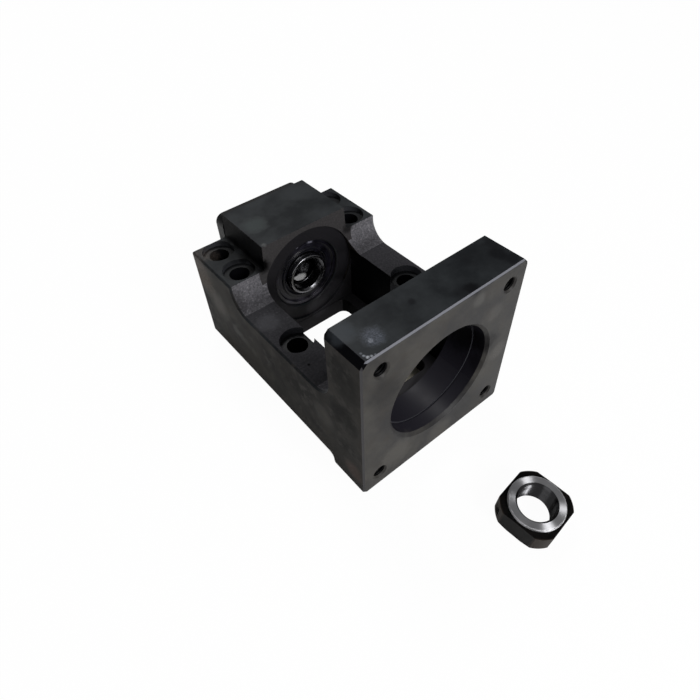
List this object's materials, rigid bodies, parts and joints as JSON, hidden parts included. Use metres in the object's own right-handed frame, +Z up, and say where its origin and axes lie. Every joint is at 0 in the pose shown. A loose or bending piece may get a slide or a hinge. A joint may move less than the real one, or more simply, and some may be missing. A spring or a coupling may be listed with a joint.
{
  "type": "ball screw end support",
  "caption": "Black cast iron fixed-side end support with an integral motor flange, open coupling bay and bearing block, its lock nut lying beside it.",
  "frame": {"origin": "on the screw axis, at the machined ring face of the bearing block that looks into the coupling bay", "axes": "+Y along the screw axis from the motor flange to the retaining cover, +Z up from the base face, +X across the width"},
  "size_m": [0.06, 0.1421, 0.0637],
  "materials": {
    "cast_black": "black oxide on cast and milled iron",
    "oxide_steel": "black oxide on turned steel",
    "screw_black": "black oxide",
    "bearing_steel": "ground and polished",
    "cage_brass": "turned",
    "seal_case": "rubber covered",
    "seal_rubber": "moulded",
    "spring_steel": "bright wire",
    "ground_steel": "ground bright"
  },
  "bodies": {
    "frame_body": {"housing": "cast_black", "retaining_cover": "oxide_steel", "cover_screws": "screw_black", "front_outer_ring": "bearing_steel", "rear_outer_ring": "bearing_steel", "front_seal_case": "seal_case", "front_seal_lip": "seal_rubber", "front_seal_spring": "spring_steel", "rear_seal_case": "seal_case", "rear_seal_lip": "seal_rubber", "rear_seal_spring": "spring_steel", "lock_nut": "oxide_steel", "nut_grub_screw": "screw_black", "nut_set_piece": "cage_brass"},
    "rotor": {"front_inner_ring": "bearing_steel", "rear_inner_ring": "bearing_steel", "front_collar": "ground_steel", "rear_collar": "ground_steel"},
    "front_ball_set": {"front_cage": "cage_brass", "front_balls": "bearing_steel"},
    "rear_ball_set": {"rear_cage": "cage_brass", "rear_balls": "bearing_steel"}
  },
  "joints": [
    {"name": "screw_turn", "type": "hinge", "parent": "frame_body", "child": "rotor", "pos_m": [0, 0.012, 0], "axis": [0, 1, 0], "continuous": true},
    {"name": "front_ball_turn", "type": "hinge", "parent": "frame_body", "child": "front_ball_set", "pos_m": [0, 0.008, 0], "axis": [0, 1, 0], "continuous": true},
    {"name": "rear_ball_turn", "type": "hinge", "parent": "frame_body", "child": "rear_ball_set", "pos_m": [0, 0.016, 0], "axis": [0, 1, 0], "continuous": true}
  ],
  "couplings": [
    {"joint": "front_ball_turn", "follows": "screw_turn", "ratio": 0.3969},
    {"joint": "rear_ball_turn", "follows": "screw_turn", "ratio": 0.3969}
  ]
}
